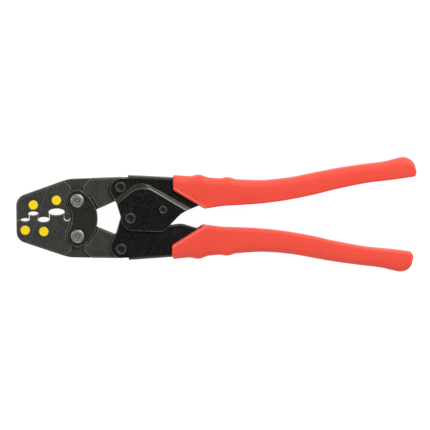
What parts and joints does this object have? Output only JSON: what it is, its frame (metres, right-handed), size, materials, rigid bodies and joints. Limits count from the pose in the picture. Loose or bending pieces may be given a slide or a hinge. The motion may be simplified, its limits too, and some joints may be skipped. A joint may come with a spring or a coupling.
{
  "type": "crimping tool",
  "caption": "Compound-leverage ratchet crimping tool with staggered oval dies between two jaws on link plates, folded steel handles and sleeved grips.",
  "frame": {"origin": "centre of the plane that the tool lies on, below the middle of its box", "axes": "+X from the jaws to the ends of the grips, +Y towards the upper handle, +Z out of the front face, along every pivot"},
  "size_m": [0.3064, 0.0872, 0.022],
  "materials": {
    "black_oxide_steel": "forged steel with an oiled black oxide finish, satin",
    "black_painted_steel": "folded steel sheet, black electro-dip paint, satin",
    "black_phosphate_steel": "black phosphated steel, matt",
    "zinc_plated_steel": "headed rivet steel, zinc plated, satin",
    "spring_steel": "drawn spring wire",
    "hardened_steel": "hardened and tempered steel, ground",
    "red_vinyl": "moulded soft vinyl, satin",
    "yellow_enamel": "air-dried enamel dots, semi-gloss"
  },
  "bodies": {
    "lower_handle": {"lower_handle_frame": "black_painted_steel", "lower_grip": "red_vinyl", "centre_pin": "black_phosphate_steel", "ratchet_sector": "hardened_steel", "sector_rivet": "zinc_plated_steel", "front_sector_washer": "zinc_plated_steel", "back_sector_washer": "zinc_plated_steel", "lower_front_pin": "black_phosphate_steel"},
    "upper_handle": {"upper_handle_frame": "black_painted_steel", "upper_grip": "red_vinyl", "upper_front_pin": "black_phosphate_steel", "pawl_pin": "black_phosphate_steel", "pawl_spring": "spring_steel", "pawl_spacer": "zinc_plated_steel"},
    "pawl": {"ratchet_pawl": "hardened_steel"},
    "upper_jaw": {"upper_jaw": "black_oxide_steel", "size_mark_2": "yellow_enamel", "size_mark_4": "yellow_enamel"},
    "lower_jaw": {"lower_jaw": "black_oxide_steel", "size_mark_1": "yellow_enamel", "size_mark_3": "yellow_enamel"},
    "link_plates": {"front_link_plate": "black_phosphate_steel", "back_link_plate": "black_phosphate_steel", "upper_jaw_rivet": "zinc_plated_steel", "lower_jaw_rivet": "zinc_plated_steel"}
  },
  "joints": [
    {"name": "handle_hinge", "type": "hinge", "parent": "lower_handle", "child": "upper_handle", "pos_m": [-0.0663, 0, 0.011], "axis": [0, 0, 1], "range_deg": [0, 40]},
    {"name": "upper_jaw_hinge", "type": "hinge", "parent": "upper_handle", "child": "upper_jaw", "pos_m": [-0.0735, 0.02375, 0.011], "axis": [0, 0, 1], "range_deg": [-26.6, 0]},
    {"name": "lower_jaw_hinge", "type": "hinge", "parent": "lower_handle", "child": "lower_jaw", "pos_m": [-0.0735, -0.02375, 0.011], "axis": [0, 0, 1], "range_deg": [0, 26.6]},
    {"name": "link_hinge", "type": "hinge", "parent": "upper_jaw", "child": "link_plates", "pos_m": [-0.1066, 0.01365, 0.011], "axis": [0, 0, 1], "range_deg": [0, 6.6]},
    {"name": "pawl_hinge", "type": "hinge", "parent": "upper_handle", "child": "pawl", "pos_m": [-0.0411, 0.00625, 0.011], "axis": [0, 0, 1], "range_deg": [-30, 30], "stiffness_Nm_per_rad": 0.02}
  ],
  "couplings": [
    {"joint": "upper_jaw_hinge", "follows": "handle_hinge", "ratio": -0.6625},
    {"joint": "lower_jaw_hinge", "follows": "handle_hinge", "ratio": 0.6625},
    {"joint": "link_hinge", "follows": "handle_hinge", "ratio": 0.1625}
  ]
}
